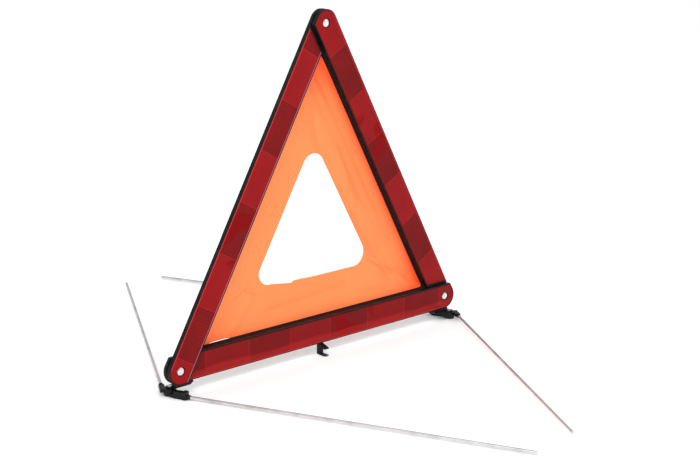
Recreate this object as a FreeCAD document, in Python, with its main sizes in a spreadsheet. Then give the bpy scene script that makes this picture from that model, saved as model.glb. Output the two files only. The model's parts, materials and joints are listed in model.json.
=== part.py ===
import FreeCAD, Part
import math
import os

import Sketcher
from FreeCAD import Placement, Rotation, Vector

# Folding warning triangle: three equal reflector arms riveted at the corners, a fabric panel
# between them, and two feet with two wire legs each.
# Frame: X along the bottom arm, Y to the back, Z up, origin on the ground under the middle.

os.makedirs("parts", exist_ok=True)
doc = FreeCAD.newDocument("WarningTriangle")

DIMENSIONS = {
    # the triangle
    "rivet_spacing": 415.0,
    "rivet_height": 29.5,
    "outer_margin": 15.2,
    "inner_margin": 15.6,
    "arm_thickness": 5.6,
    "corner_offset": 5.9,
    "fold_splay": 3.0,
    "cover_thickness": 1.8,
    "lens_thickness": 1.7,
    "lens_rim": 0.8,
    "lens_clearance": 0.1,
    "lens_bevel": 0.6,
    "lens_eye": 5.4,
    "dark_gap": 3.0,
    "lap_gap": 0.4,
    "slot_height": 1.1,
    "slot_wall": 2.4,
    "slot_end": 24.0,
    "cover_border": 4.0,
    "cover_end": 34.0,
    "cover_relief": 0.5,
    "front_step": 0.8,
    "front_step_end": 150.0,
    # corner rivets
    "shank_radius": 2.0,
    "pivot_clearance": 0.08,
    "head_radius": 4.7,
    "head_height": 1.3,
    "head_gap": 0.25,
    "tail_height": 0.8,
    "tail_radius": 3.8,
    "tail_gap": 0.2,
    "stud_tail_gap": 0.7,
    "washer_radius": 5.5,
    "washer_thickness": 2.1,
    "washer_lift": 0.25,
    "hook_width": 5.6,
    # fabric panel
    "panel_thickness": 0.5,
    "panel_depth": 0.45,
    "panel_gap": 0.5,
    "panel_tab": 24.0,
    "panel_tuck": 8.0,
    "hole_side": 187.7,
    "hole_corner": 16.4,
    "hole_drop": 1.7,
    # feet
    "pin_reach": 213.0,
    "pin_setback": 8.0,
    "pin_radius": 1.7,
    "pin_head": 2.7,
    "pin_dome": 1.0,
    "base_radius": 6.5,
    "base_height": 0.9,
    "hub_radius": 7.0,
    "lower_hub_floor": 1.2,
    "lower_hub_top": 4.6,
    "upper_hub_floor": 4.9,
    "upper_hub_top": 9.0,
    "tongue_floor": 9.3,
    "tongue_top": 11.0,
    "tongue_radius": 4.2,
    # wire legs
    "wire_radius": 1.8,
    "wire_length": 392.0,
    "lower_leg_offset": 4.5,
    "lower_leg_reach": 410.0,
    "lower_leg_height": 3.2,
    "beam_start": 7.6,
    "beam_floor": 0.4,
    "beam_top": 8.4,
    "beam_flare": 18.5,
    "beam_end": 23.5,
    "flare_lip": 0.7,
    "upper_leg_offset": 8.0,
    "upper_leg_reach": 402.0,
    "upper_leg_height": 6.9,
    "upper_beam_end": 13.0,
    "holder_half": 3.0,
    # clip for the folded legs
    "clip_width": 6.0,
    "clip_rear": 2.4,
    "clip_tip": 12.5,
    "clip_floor": 0.3,
    "mouth_floor": 1.2,
    "mouth_roof": 8.9,
    "clip_shoulder": 10.6,
    "clip_brow": 13.2,
}

# Open directions of a foot's legs, in degrees from the line along the bottom arm.
LOWER_LEG_ANGLE = -64.3
UPPER_LEG_ANGLE = 60.2
# Direction in which the open hook of the right arm lets go of the stud, from the arm's length.
HOOK_ANGLE = 79.0


class Size:
    """A length with its value in millimetres and the sheet expression that it comes from."""

    def __init__(self, value, text):
        self.value = float(value)
        self.text = text

    def joined(self, sign, other, value):
        return Size(value, f"({self.text} {sign} {size(other).text})")

    def __add__(self, other):
        return self.joined("+", other, self.value + size(other).value)

    def __sub__(self, other):
        return self.joined("-", other, self.value - size(other).value)

    def __mul__(self, other):
        return self.joined("*", other, self.value * size(other).value)

    def __truediv__(self, other):
        return self.joined("/", other, self.value / size(other).value)

    def __neg__(self):
        return size(0) - self


def size(given):
    """A Size as it is, or a plain number made into one."""
    if isinstance(given, Size):
        return given
    return Size(given, f"{given:.6f}")


class Sheet:
    """The driving dimensions, read as attributes."""

    def __init__(self, dimensions):
        cells = doc.addObject("Spreadsheet::Sheet", "dims")
        for row, (alias, value) in enumerate(dimensions.items(), start=1):
            cells.set(f"A{row}", alias)
            cells.set(f"B{row}", str(value))
            cells.setAlias(f"B{row}", alias)
        doc.recompute()
        self.dimensions = dimensions

    def __getattr__(self, alias):
        return Size(self.dimensions[alias], f"dims.{alias}")


D = Sheet(DIMENSIONS)
NODES = []

LENGTH = D.rivet_spacing.value
OFFSET = D.corner_offset.value
SPLAY = D.fold_splay.value
HEIGHT = D.rivet_height.value
ROOT_THREE = math.sqrt(3)


# ---------------------------------------------------------------- building blocks


def bind(thing, prop, given):
    """Tie a property of an object to the sheet."""
    thing.setExpression(prop, size(given).text)


def move_to(thing, corner):
    """Tie an object's place to the sheet."""
    for axis, given in zip("xyz", corner):
        bind(thing, f"Placement.Base.{axis}", given)


def box(name, low, high):
    """A box from its low corner to its high corner."""
    thing = doc.addObject("Part::Box", name)
    for prop, start, end in zip(("Length", "Width", "Height"), low, high):
        bind(thing, prop, size(end) - start)
    move_to(thing, low)
    return thing


def cylinder(name, radius, low, high, centre=(0, 0)):
    """An upright cylinder between two heights."""
    thing = doc.addObject("Part::Cylinder", name)
    bind(thing, "Radius", radius)
    bind(thing, "Height", size(high) - low)
    move_to(thing, (*centre, low))
    return thing


def aimed_cylinder(name, radius, length, start, direction):
    """A cylinder from a start point along a direction."""
    thing = doc.addObject("Part::Cylinder", name)
    bind(thing, "Radius", radius)
    bind(thing, "Height", length)
    thing.Placement = Placement(start, Rotation(Vector(0, 0, 1), direction))
    return thing


def fuse(name, things):
    """Several shapes joined into one solid."""
    joined = doc.addObject("Part::MultiFuse", name)
    joined.Shapes = things
    joined.Refine = True
    return joined


def cut(name, base, tools):
    """A shape with others taken away from it."""
    result = doc.addObject("Part::Cut", name)
    result.Base = base
    result.Tool = tools[0] if len(tools) == 1 else fuse(f"{name}_tools", tools)
    return result


def node(thing, label, place=None):
    """Register a finished sub-part under its own name, at its place in the assembly."""
    thing.Label = label
    if place is not None:
        thing.Placement = place
    NODES.append(thing)
    return thing


def new_sketch(body, name, role="XY_Plane", lift=0):
    """A sketch on one of the body's own origin planes, lifted along its normal."""
    sketch = body.newObject("Sketcher::SketchObject", name)
    plane = next(f for f in body.Origin.OriginFeatures if f.Role == role)
    sketch.AttachmentSupport = (plane, [""])
    sketch.MapMode = "FlatFace"
    bind(sketch, "AttachmentOffset.Base.z", lift)
    return sketch


def held(sketch, kind, geometry, end, given):
    """Hold a sketch point at a distance from the origin, along X or Y."""
    distance = size(given)
    if abs(distance.value) < 1e-6:
        axis = -2 if kind == "DistanceX" else -1
        sketch.addConstraint(Sketcher.Constraint("PointOnObject", geometry, end, axis))
        return
    if distance.value > 0:
        rule = Sketcher.Constraint(kind, -1, 1, geometry, end, distance.value)
    else:
        distance = -distance
        rule = Sketcher.Constraint(kind, geometry, end, -1, 1, distance.value)
    index = sketch.addConstraint(rule)
    sketch.setExpression(f"Constraints[{index}]", distance.text)


def polygon(sketch, corners):
    """A closed outline of straight edges, with every corner tied to the sheet."""
    flat = [Vector(size(x).value, size(y).value, 0) for x, y in corners]
    count = len(flat)
    for k in range(count):
        sketch.addGeometry(Part.LineSegment(flat[k], flat[(k + 1) % count]))
    for k in range(count):
        sketch.addConstraint(Sketcher.Constraint("Coincident", k, 2, (k + 1) % count, 1))
    for k, (x, y) in enumerate(corners):
        held(sketch, "DistanceX", k, 1, x)
        held(sketch, "DistanceY", k, 1, y)


def circle(sketch, radius):
    """A circle about the sketch's origin."""
    outline = Part.Circle(Vector(0, 0, 0), Vector(0, 0, 1), size(radius).value)
    index = sketch.addGeometry(outline)
    sketch.addConstraint(Sketcher.Constraint("Coincident", index, 3, -1, 1))
    rule = sketch.addConstraint(Sketcher.Constraint("Radius", index, size(radius).value))
    sketch.setExpression(f"Constraints[{rule}]", size(radius).text)


def pad(body, sketch, name, length):
    """Extrude a sketch along its normal."""
    feature = body.newObject("PartDesign::Pad", name)
    feature.Profile = sketch
    bind(feature, "Length", length)
    return feature


def pocket(body, sketch, name, depth):
    """Cut a sketch into the body, against the sketch's normal."""
    feature = body.newObject("PartDesign::Pocket", name)
    feature.Profile = sketch
    bind(feature, "Length", depth)
    return feature


def revolved(name, profile):
    """A turned part: a half profile of (radius, height) points about the Z axis."""
    body = doc.addObject("PartDesign::Body", name)
    sketch = new_sketch(body, f"{name}_profile", "XZ_Plane")
    polygon(sketch, profile)
    turn = body.newObject("PartDesign::Revolution", f"{name}_turn")
    turn.Profile = sketch
    turn.ReferenceAxis = (sketch, ["V_Axis"])
    turn.Angle = 360
    return body


# ---------------------------------------------------------------- where the arms lie

# An arm's own frame: origin on the mid plane at its front rivet, X towards its rear rivet,
# Y outwards, Z to the front. Each arm's rear end lies one offset behind its front end, so
# that every corner has one front end on top of one rear end.


def arm_place(start, along, outward):
    """The place of an arm from its front rivet point, its length and its outer side."""
    x_axis = Vector(*along).normalize()
    y_axis = Vector(*outward)
    z_axis = x_axis.cross(y_axis)
    return Placement(start, Rotation(x_axis, y_axis, z_axis, "XYZ"))


def about_centroid(turn):
    """A turn of the whole triangle about its own middle, clockwise seen from the front."""
    centre = Vector(0, 0, HEIGHT + LENGTH * ROOT_THREE / 6)
    return Placement(Vector(0, 0, 0), Rotation(Vector(0, 1, 0), turn), centre)


BOTTOM = arm_place(
    Vector(LENGTH / 2, -OFFSET / 2, HEIGHT), (-LENGTH, OFFSET, 0), (0, 0, -1)
)
LEFT = about_centroid(120) * BOTTOM
RIGHT = about_centroid(240) * BOTTOM

# Folded flat: the left arm lies in front of the bottom arm, and the right arm in front of it.
LEFT_FOLDED = arm_place(LEFT.Base, (LENGTH, -OFFSET - SPLAY, 0), (0, 0, 1))
RIGHT_FOLDED = arm_place(
    (LEFT_FOLDED * LEFT.inverse()).multVec(RIGHT.Base), (-LENGTH, OFFSET, 0), (0, 0, -1)
)


def hinge_axis(open_place, folded_place):
    """The axis of the turn from the open place to the folded one, pointing to the back."""
    axis = (folded_place.Rotation * open_place.Rotation.inverted()).Axis
    return axis if axis.y > 0 else -axis


LEFT_AXIS = hinge_axis(LEFT, LEFT_FOLDED)
RIGHT_AXIS = hinge_axis(LEFT_FOLDED * LEFT.inverse() * RIGHT, RIGHT_FOLDED)
RIGHT_AXIS = (LEFT * LEFT_FOLDED.inverse()).Rotation.multVec(RIGHT_AXIS)
STUD_AXIS = Vector(0, 1, 0)

# Each corner: the point on the front arm's mid plane, and the axis through it.
LEFT_CORNER = (LEFT.Base, LEFT_AXIS)
APEX = (RIGHT.Base, RIGHT_AXIS)
RIGHT_CORNER = (BOTTOM.Base, STUD_AXIS)


# ---------------------------------------------------------------- the three arms


def arm_outline(sketch, outer, inner, rear_cut=None):
    """The outline of an arm: a strip with an arc about its rivet at each end.

    The arc turns 120 degrees from the outer edge, then the outline runs straight to a sharp
    corner on the inner edge. With rear_cut the rear end is a straight slanted cut instead,
    at that distance from the neighbour's line of rivets.
    """
    out, inn = size(outer).value, size(inner).value
    corner = -out * ROOT_THREE / 2 + (inn - out / 2) / ROOT_THREE
    up = Vector(0, 0, 1)
    front = Part.Circle(Vector(0, 0, 0), up, out)
    arc = sketch.addGeometry(Part.ArcOfCircle(front, math.radians(90), math.radians(210)))
    arc_end = Vector(-out * ROOT_THREE / 2, -out / 2, 0)
    edge = sketch.addGeometry(Part.LineSegment(arc_end, Vector(corner, -inn, 0)))

    if rear_cut is None:
        inner_end = Vector(LENGTH - corner, -inn, 0)
        outer_start = Vector(LENGTH, out, 0)
    else:
        reach = size(rear_cut).value
        inner_end = Vector(LENGTH - (2 * reach + inn) / ROOT_THREE, -inn, 0)
        outer_start = Vector(LENGTH - (2 * reach - out) / ROOT_THREE, out, 0)
    inside = sketch.addGeometry(Part.LineSegment(Vector(corner, -inn, 0), inner_end))
    outside = sketch.addGeometry(Part.LineSegment(outer_start, Vector(0, out, 0)))

    rules = [
        ("Coincident", arc, 3, -1, 1),
        ("Tangent", outside, 2, arc, 1),
        ("Tangent", arc, 2, edge, 1),
        ("Coincident", edge, 2, inside, 1),
        ("Horizontal", inside),
        ("Horizontal", outside),
        ("Angle", edge, math.radians(-60)),
    ]
    if rear_cut is None:
        rear = Part.Circle(Vector(LENGTH, 0, 0), up, out)
        span = Part.ArcOfCircle(rear, math.radians(-30), math.radians(90))
        rear_arc = sketch.addGeometry(span)
        rear_start = Vector(LENGTH + out * ROOT_THREE / 2, -out / 2, 0)
        rear_edge = sketch.addGeometry(Part.LineSegment(inner_end, rear_start))
        rules += [
            ("Coincident", inside, 2, rear_edge, 1),
            ("Tangent", rear_edge, 2, rear_arc, 1),
            ("Tangent", rear_arc, 2, outside, 1),
            ("Angle", rear_edge, math.radians(60)),
            ("PointOnObject", rear_arc, 3, -1),
        ]
    else:
        slant = sketch.addGeometry(Part.LineSegment(inner_end, outer_start))
        rules += [
            ("Coincident", inside, 2, slant, 1),
            ("Coincident", slant, 2, outside, 1),
            ("Angle", slant, math.radians(60)),
        ]
    for rule in rules:
        sketch.addConstraint(Sketcher.Constraint(*rule))

    radius = sketch.addConstraint(Sketcher.Constraint("Radius", arc, out))
    sketch.setExpression(f"Constraints[{radius}]", size(outer).text)
    held(sketch, "DistanceY", inside, 1, -size(inner))
    if rear_cut is None:
        held(sketch, "DistanceX", rear_arc, 3, D.rivet_spacing)
    else:
        inner_reach = D.rivet_spacing - (size(rear_cut) * 2 + inner) / ROOT_THREE
        held(sketch, "DistanceX", inside, 2, inner_reach)


def bore(name, corner, place, radius):
    """A long drill through one corner's axis, in the own frame of the arm at that place."""
    point, axis = corner
    reach = 20
    start = place.inverse().multVec(point - axis * reach)
    direction = place.inverse().Rotation.multVec(axis)
    return aimed_cylinder(name, radius, 2 * reach, start, direction)


def beyond_lap(name, distance, low):
    """The region at the rear end that the neighbour's front end covers, above a height."""
    thing = box(name, (-60, -60, low), (60, distance, size(low) + 20))
    thing.Placement = Placement(Vector(LENGTH, 0, 0), Rotation(Vector(0, 0, 1), 60))
    start = thing.Placement.multVec(Vector(-60, -60, size(low).value))
    thing.setExpression("Placement.Base.x", None)
    thing.setExpression("Placement.Base.y", None)
    thing.Placement.Base = start
    return thing


def hook_slot(name):
    """The open side of the right arm's rear end: it slides off the stud as the arm swings."""
    half = D.hook_width / 2
    slot = box(f"{name}_slot", (-half, -40, -10), (half, 0, 10))
    for prop in ("x", "y", "z"):
        slot.setExpression(f"Placement.Base.{prop}", None)
    turn = Rotation(Vector(0, 0, 1), HOOK_ANGLE - 90)
    centre = Vector(LENGTH, 0, 0)
    slot.Placement = Placement(centre + turn.multVec(Vector(-half.value, -40, -10)), turn)
    eye = cylinder(f"{name}_eye", half, -10, 10, (D.rivet_spacing, 0))
    return [slot, eye]


def arm(side, place, front_corner, rear_corner, front_radius, rear_radius, hooked=False):
    """One arm: the moulded body, the red lens in its front and the cover on its back."""
    half = D.arm_thickness / 2
    joint_plane = -half + D.cover_thickness
    lens_plane = half - D.lens_thickness
    lens_cut = D.inner_margin + D.dark_gap
    lens_outer = D.outer_margin - D.lens_rim
    lens_inner = D.inner_margin - D.lens_rim

    body = doc.addObject("PartDesign::Body", f"{side}_arm_blank")
    outline = new_sketch(body, f"{side}_outline", lift=joint_plane)
    arm_outline(outline, D.outer_margin, D.inner_margin)
    pad(body, outline, f"{side}_pad", D.arm_thickness - D.cover_thickness)
    recess = new_sketch(body, f"{side}_recess_outline", lift=half)
    play = D.lens_clearance
    arm_outline(recess, lens_outer + play, lens_inner + play, lens_cut - play)
    pocket(body, recess, f"{side}_recess", D.lens_thickness)

    holes = [
        beyond_lap(f"{side}_lap", D.inner_margin + D.lap_gap, lens_plane),
        box(
            f"{side}_fabric_slot",
            (D.slot_end, -D.inner_margin - 1, joint_plane - 1),
            (D.rivet_spacing - D.slot_end, D.outer_margin - D.slot_wall, joint_plane + D.slot_height),
        ),
        bore(f"{side}_front_bore", front_corner, place, front_radius),
    ]
    if hooked:
        holes += hook_slot(f"{side}_body_hook")
    else:
        holes.append(bore(f"{side}_rear_bore", rear_corner, place, rear_radius))
    node(cut(f"{side}_arm_cut", body, holes), f"{side}_arm_body", place)

    glass = doc.addObject("PartDesign::Body", f"{side}_lens_body")
    shape = new_sketch(glass, f"{side}_lens_outline", lift=lens_plane)
    arm_outline(shape, lens_outer, lens_inner, lens_cut)
    pad(glass, shape, f"{side}_lens_pad", D.lens_thickness)
    eye = new_sketch(glass, f"{side}_lens_eye", lift=half)
    circle(eye, D.lens_eye)
    drilled = pocket(glass, eye, f"{side}_lens_hole", D.lens_thickness)
    doc.recompute()
    top = half.value
    rim = [
        f"Edge{k}"
        for k, edge in enumerate(drilled.Shape.Edges, start=1)
        if len(edge.Vertexes) == 2 and all(abs(v.Point.z - top) < 1e-6 for v in edge.Vertexes)
    ]
    bevelled = glass.newObject("PartDesign::Chamfer", f"{side}_lens_bevel")
    bevelled.Base = (drilled, rim)
    bind(bevelled, "Size", D.lens_bevel)
    node(glass, f"{side}_arm_lens", place)

    back = doc.addObject("PartDesign::Body", f"{side}_cover_blank")
    plate = new_sketch(back, f"{side}_cover_outline", lift=-half)
    arm_outline(plate, D.outer_margin, D.inner_margin)
    pad(back, plate, f"{side}_cover_pad", D.cover_thickness)
    border = D.cover_border
    relief = box(
        f"{side}_cover_relief",
        (D.cover_end, border - D.inner_margin, -half - 1),
        (D.rivet_spacing - D.cover_end, D.outer_margin - border, D.cover_relief - half),
    )
    step = box(
        f"{side}_cover_step",
        (-40, -40, -half - 1),
        (D.front_step_end, 40, D.front_step - half),
    )
    front_bore = bore(f"{side}_cover_front_bore", front_corner, place, front_radius)
    openings = [relief, step, front_bore]
    if hooked:
        openings += hook_slot(f"{side}_cover_hook")
    else:
        openings.append(bore(f"{side}_cover_rear_bore", rear_corner, place, rear_radius))
    node(cut(f"{side}_cover_cut", back, openings), f"{side}_arm_cover", place)


RUNNING = D.shank_radius + D.pivot_clearance
arm("bottom", BOTTOM, RIGHT_CORNER, LEFT_CORNER, D.shank_radius, D.shank_radius)
arm("left", LEFT, LEFT_CORNER, APEX, RUNNING, D.shank_radius)
arm("right", RIGHT, APEX, RIGHT_CORNER, RUNNING, D.shank_radius, hooked=True)


# ---------------------------------------------------------------- corner rivets


def rivet(label, corner, tail_gap):
    """A rivet with a domed head in the lens's eye and a flat tail behind the rear arm."""
    half = D.arm_thickness / 2
    seat = half - D.lens_thickness + D.head_gap
    tail = -D.corner_offset - half - tail_gap
    head_top = seat + D.head_height
    profile = [
        (0, tail - D.tail_height),
        (D.tail_radius, tail - D.tail_height),
        (D.tail_radius, tail),
        (D.shank_radius, tail),
        (D.shank_radius, seat),
        (D.head_radius, seat),
        (D.head_radius - 0.2, seat + 0.6),
        (D.head_radius - 1.2, head_top - 0.2),
        (D.head_radius - 2.4, head_top),
        (0, head_top),
    ]
    point, axis = corner
    place = Placement(point, Rotation(Vector(0, 0, 1), -axis))
    node(revolved(label, profile), label, place)


def washer(label, corner):
    """A washer that keeps the front end of one arm clear of the rear end of the next."""
    low = D.washer_lift - D.corner_offset + D.arm_thickness / 2 - D.lens_thickness
    ring = cut(
        f"{label}_ring",
        cylinder(f"{label}_disc", D.washer_radius, low, low + D.washer_thickness),
        [cylinder(f"{label}_eye", D.shank_radius, low - 1, low + D.washer_thickness + 1)],
    )
    point, axis = corner
    node(ring, label, Placement(point, Rotation(Vector(0, 0, 1), -axis)))


rivet("left_corner_rivet", LEFT_CORNER, D.tail_gap)
rivet("apex_rivet", APEX, D.tail_gap)
rivet("right_corner_stud", RIGHT_CORNER, D.stud_tail_gap)
washer("left_corner_washer", LEFT_CORNER)
washer("apex_washer", APEX)


# ---------------------------------------------------------------- fabric panel


def flat_triangle(name, inradius, thickness, drop=0):
    """An upright equilateral plate about the middle of the frame, or lower, in the panel's plane."""
    body = doc.addObject("PartDesign::Body", name)
    sketch = new_sketch(body, f"{name}_outline", "XZ_Plane", -D.panel_depth - thickness / 2)
    middle = D.rivet_height + D.rivet_spacing * (ROOT_THREE / 6) - drop
    half_side = size(inradius) * ROOT_THREE
    low = middle - inradius
    polygon(sketch, [(-half_side, low), (half_side, low), (0, middle + size(inradius) * 2)])
    pad(body, sketch, f"{name}_pad", thickness)
    return body


def panel():
    """The fabric triangle with its rounded hole and a tab tucked into each arm."""
    inradius = D.rivet_spacing * (ROOT_THREE / 6) - D.inner_margin - D.panel_gap
    cloth = flat_triangle("cloth", inradius, D.panel_thickness)
    hole = flat_triangle("cloth_hole", D.hole_side * (ROOT_THREE / 6), size(20), D.hole_drop)
    doc.recompute()
    rounded = hole.newObject("PartDesign::Fillet", "cloth_hole_corners")
    corners = [
        f"Edge{k}"
        for k, edge in enumerate(hole.Shape.Edges, start=1)
        if abs(edge.Vertexes[0].Y - edge.Vertexes[-1].Y) > 1
    ]
    rounded.Base = (doc.getObject("cloth_hole_pad"), corners)
    bind(rounded, "Radius", D.hole_corner)

    pieces = [cloth]
    half = D.panel_thickness / 2
    tab_top = D.rivet_height + D.inner_margin + D.panel_gap + 1
    tab_foot = D.rivet_height + D.inner_margin - D.panel_tuck
    for k in range(3):
        reach = D.panel_tab / 2
        low = (-reach, D.panel_depth - half, tab_foot)
        tab = box(f"panel_tab_{k}", low, (reach, D.panel_depth + half, tab_top))
        for axis in "xyz":
            tab.setExpression(f"Placement.Base.{axis}", None)
        tab.Placement = about_centroid(120 * k) * Placement(
            Vector(*(size(value).value for value in low)), Rotation()
        )
        pieces.append(tab)
    node(cut("panel_cut", fuse("panel_cloth", pieces), [hole]), "fabric_panel")


panel()


# ---------------------------------------------------------------- clip, feet and legs

ARM_EDGE = D.rivet_height - D.outer_margin


def middle_clip():
    """The clip under the bottom arm: a web with two prongs that open to the front."""
    bead = 0.2
    web = -D.clip_rear
    tip = -D.clip_tip
    profile = [
        (D.clip_rear, ARM_EDGE),
        (D.clip_rear, D.clip_floor + 1),
        (D.clip_rear - 1, D.clip_floor),
        (tip + 1.5, D.clip_floor),
        (tip, D.mouth_floor - bead),
        (tip + 0.8, D.mouth_floor + bead),
        (tip + 2.6, D.mouth_floor),
        (web, D.mouth_floor),
        (web, D.mouth_roof),
        (tip + 2.6, D.mouth_roof),
        (tip + 0.8, D.mouth_roof - bead),
        (tip, D.mouth_roof + bead),
        (tip + 1.5, D.clip_shoulder),
        (web, D.clip_brow),
        (web, ARM_EDGE),
    ]
    body = doc.addObject("PartDesign::Body", "middle_clip")
    sketch = new_sketch(body, "middle_clip_profile", "YZ_Plane", -D.clip_width / 2)
    polygon(sketch, profile)
    pad(body, sketch, "middle_clip_pad", D.clip_width)
    node(body, "middle_leg_clip")


middle_clip()

# A foot's own frame: origin on the ground at its pin, X towards the middle of the bottom arm,
# Y away from the arm's plane. The right foot is the left one turned half way round.
FEET = {
    "left": Placement(Vector(-D.pin_reach.value, D.pin_setback.value, 0), Rotation()),
    "right": Placement(
        Vector(D.pin_reach.value, -D.pin_setback.value, 0), Rotation(Vector(0, 0, 1), 180)
    ),
}


def foot_bracket(side, place):
    """The moulding under the arm's end: a saddle on the arm and a tongue over the hubs."""
    name = f"{side}_foot_bracket"
    body = doc.addObject("PartDesign::Body", f"{name}_saddle")
    rear = -D.pin_setback + D.corner_offset / 2 + D.arm_thickness / 2
    front = -D.pin_setback + 0.4
    sketch = new_sketch(body, f"{name}_side_view", "XZ_Plane", -rear)
    floor = D.tongue_floor
    side_view = [(1, floor), (22, floor), (27, floor + 3), (25, ARM_EDGE), (1, ARM_EDGE)]
    polygon(sketch, side_view)
    pad(body, sketch, f"{name}_saddle_pad", rear - front)
    strap = box(
        f"{name}_strap",
        (0, -D.tongue_radius, D.tongue_floor),
        (21, D.tongue_radius, D.tongue_top),
    )
    rounded = cylinder(f"{name}_end", D.tongue_radius, D.tongue_floor, D.tongue_top)
    whole = fuse(f"{name}_whole", [body, strap, rounded])
    eye = cylinder(f"{name}_eye", D.pin_radius, 0, 20)
    node(cut(f"{name}_cut", whole, [eye]), name, place)


def foot_pin(side, place):
    """The upright pin of a foot, with a wide base to stand on and a domed head."""
    name = f"{side}_foot_pin"
    top = D.tongue_top
    profile = [
        (0, 0),
        (D.base_radius - 0.5, 0),
        (D.base_radius, 0.5),
        (D.base_radius, D.base_height),
        (D.pin_radius, D.base_height),
        (D.pin_radius, top),
        (D.pin_head, top),
        (D.pin_head - 0.3, top + 0.5),
        (D.pin_head - 1.2, top + D.pin_dome),
        (0, top + D.pin_dome),
    ]
    node(revolved(name, profile), name, place)


def leg(side, end, foot, angle, offset, reach, height, hub, beam):
    """One wire leg in its holder, which turns on the foot's pin.

    The wire lies level at its height and runs beside the pin, to the right of its direction
    when the offset is negative. The two legs of a foot lie at two heights, so that they pass
    over each other and over the legs of the other foot.
    """
    name = f"{side}_{end}_leg"
    place = foot * Placement(Vector(0, 0, 0), Rotation(Vector(0, 0, 1), angle))
    start = (reach - D.wire_length, offset, height)

    def wire(suffix):
        rod = doc.addObject("Part::Cylinder", f"{name}_{suffix}")
        bind(rod, "Radius", D.wire_radius)
        bind(rod, "Height", D.wire_length)
        move_to(rod, start)
        rod.Placement.Rotation = Rotation(Vector(0, 1, 0), 90)
        return rod

    shape = doc.addObject("Part::Chamfer", f"{name}_rod_shape")
    shape.Base = wire("wire")
    doc.recompute()
    ends = [k for k, e in enumerate(shape.Base.Shape.Edges, start=1) if e.isClosed()]
    shape.Edges = [(k, 0.3, 0.3) for k in ends]
    node(shape, f"{name}_rod", place)

    floor, top = hub
    disc = cylinder(f"{name}_hub", D.hub_radius, floor, top)
    whole = fuse(f"{name}_holder_whole", [disc, *beam(name)])
    eye = cylinder(f"{name}_eye", D.pin_radius + D.pivot_clearance, 0, 20)
    node(cut(f"{name}_holder_cut", whole, [eye, wire("socket")]), f"{name}_holder", place)


def lower_beam(name):
    """The long beam of a lower leg's holder, beside the hub, with a flared mouth."""
    right = -D.lower_leg_offset - D.holder_half
    left = -D.lower_leg_offset + D.holder_half
    lip = D.flare_lip
    root = box(
        f"{name}_root",
        (0, right + 0.5, D.lower_hub_floor),
        (D.beam_start, left, D.lower_hub_top),
    )
    beam = box(
        f"{name}_beam", (D.beam_start, right, D.beam_floor), (D.beam_end, left, D.beam_top)
    )
    flare = box(
        f"{name}_flare",
        (D.beam_flare, right - lip, D.beam_floor),
        (D.beam_end, left + lip, D.beam_top + lip),
    )
    return [root, beam, flare]


def upper_beam(name):
    """The short socket of an upper leg's holder, beside the hub."""
    right = D.upper_leg_offset - D.holder_half
    left = D.upper_leg_offset + D.holder_half
    low = (-3, right, D.upper_hub_floor)
    return [box(f"{name}_socket_block", low, (D.upper_beam_end, left, D.upper_hub_top))]


LOWER_HUB = (D.lower_hub_floor, D.lower_hub_top)
UPPER_HUB = (D.upper_hub_floor, D.upper_hub_top)

for foot_side, foot_place in FEET.items():
    foot_bracket(foot_side, foot_place)
    foot_pin(foot_side, foot_place)
    lower_end, upper_end = ("front", "rear") if foot_side == "left" else ("rear", "front")
    leg(
        foot_side,
        lower_end,
        foot_place,
        LOWER_LEG_ANGLE,
        -D.lower_leg_offset,
        D.lower_leg_reach,
        D.lower_leg_height,
        LOWER_HUB,
        lower_beam,
    )
    leg(
        foot_side,
        upper_end,
        foot_place,
        UPPER_LEG_ANGLE,
        D.upper_leg_offset,
        D.upper_leg_reach,
        D.upper_leg_height,
        UPPER_HUB,
        upper_beam,
    )


# ---------------------------------------------------------------- check and export

doc.recompute()
for thing in doc.Objects:
    if "Invalid" in thing.State or "Error" in thing.State:
        raise RuntimeError(f"{thing.Name} could not be made: {thing.State}")
for thing in NODES:
    if thing.Shape.isNull() or not thing.Shape.isValid():
        raise RuntimeError(f"{thing.Label} has no valid shape")
for thing in NODES:
    thing.Shape.exportStep(f"parts/{thing.Label}.step")
    extent = thing.Shape.BoundBox
    solids, volume = len(thing.Shape.Solids), thing.Shape.Volume
    print(f"{thing.Label}: {solids} solid(s), {volume:.0f} mm3, z {extent.ZMin:.1f}..{extent.ZMax:.1f}")
for title, (point, axis) in (("left corner", LEFT_CORNER), ("apex", APEX)):
    print(f"{title} hinge: at {tuple(point)}, axis {tuple(axis)}")
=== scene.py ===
"""Looks of a folding warning triangle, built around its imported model.

Lengths are in metres, in the model's own frame: X along the bottom arm, Y to the back and Z up.
"""

import json
import logging
import math
from dataclasses import dataclass, field
from enum import Enum

import bpy
import numpy as np
from mathutils import Matrix, Vector

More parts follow.
